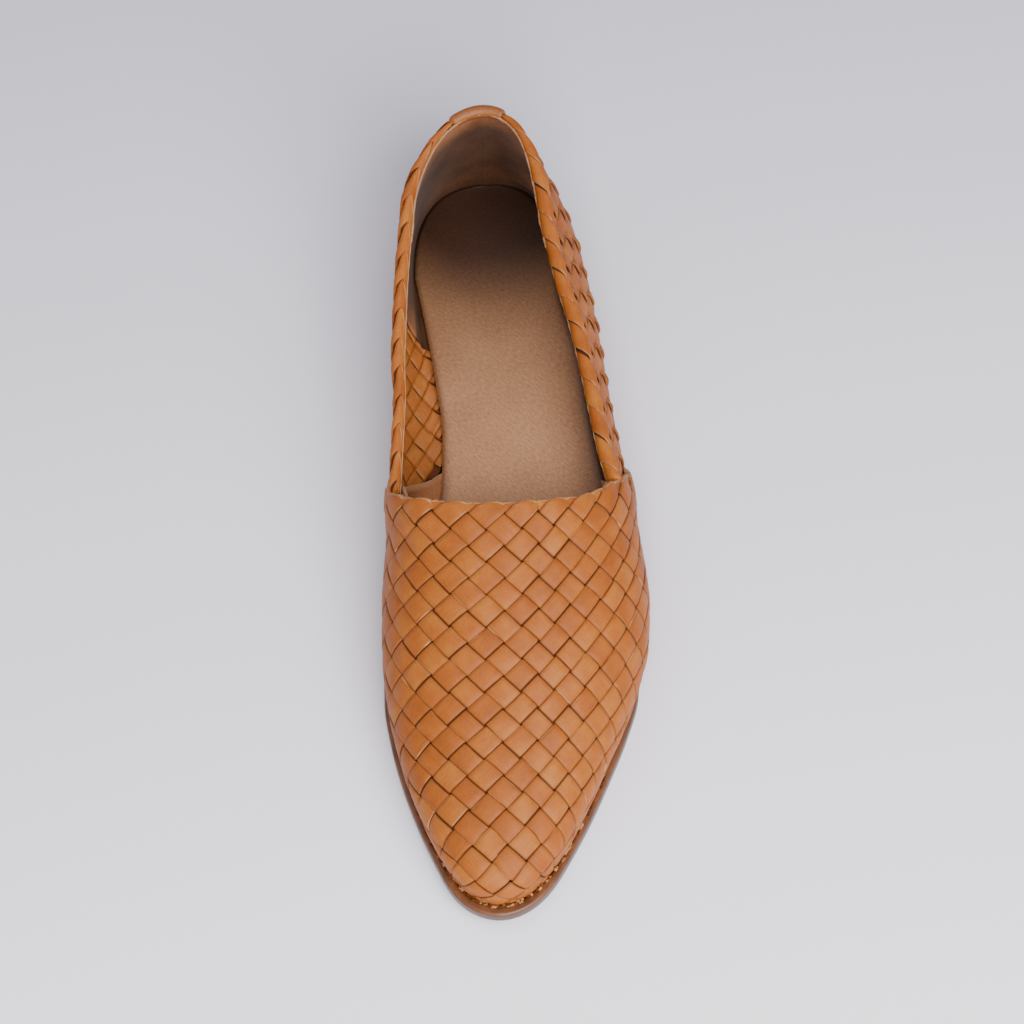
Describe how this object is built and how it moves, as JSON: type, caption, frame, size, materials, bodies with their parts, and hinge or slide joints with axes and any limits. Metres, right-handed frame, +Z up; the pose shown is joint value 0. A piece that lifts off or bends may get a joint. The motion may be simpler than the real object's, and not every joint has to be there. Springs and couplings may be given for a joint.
{
  "type": "woven leather slip-on shoe",
  "caption": "Flat slip-on shoe for the left foot with a basket-woven leather upper, almond toe, wide open collar, smooth heel tab, leather insole, thin leather outsole and low heel.",
  "frame": {"origin": "the middle of the shoe's box on the floor it stands on", "axes": "+Z up, the toe points along -Y and the heel along +Y, +X is the outer side of the left foot"},
  "size_m": [0.087, 0.2701, 0.0666],
  "materials": {
    "woven_leather": "vegetable-tanned tan leather strips, satin, basket weave",
    "smooth_leather": "smooth tan leather, satin",
    "insole_leather": "smooth brown leather, matt",
    "sole_leather": "stained sole leather, satin edge",
    "heel_leather": "stacked sole leather, satin edge"
  },
  "bodies": {
    "root": {"upper": "woven_leather", "heel_tab": "smooth_leather", "insole": "insole_leather", "outsole": "sole_leather", "heel": "heel_leather"}
  },
  "joints": []
}
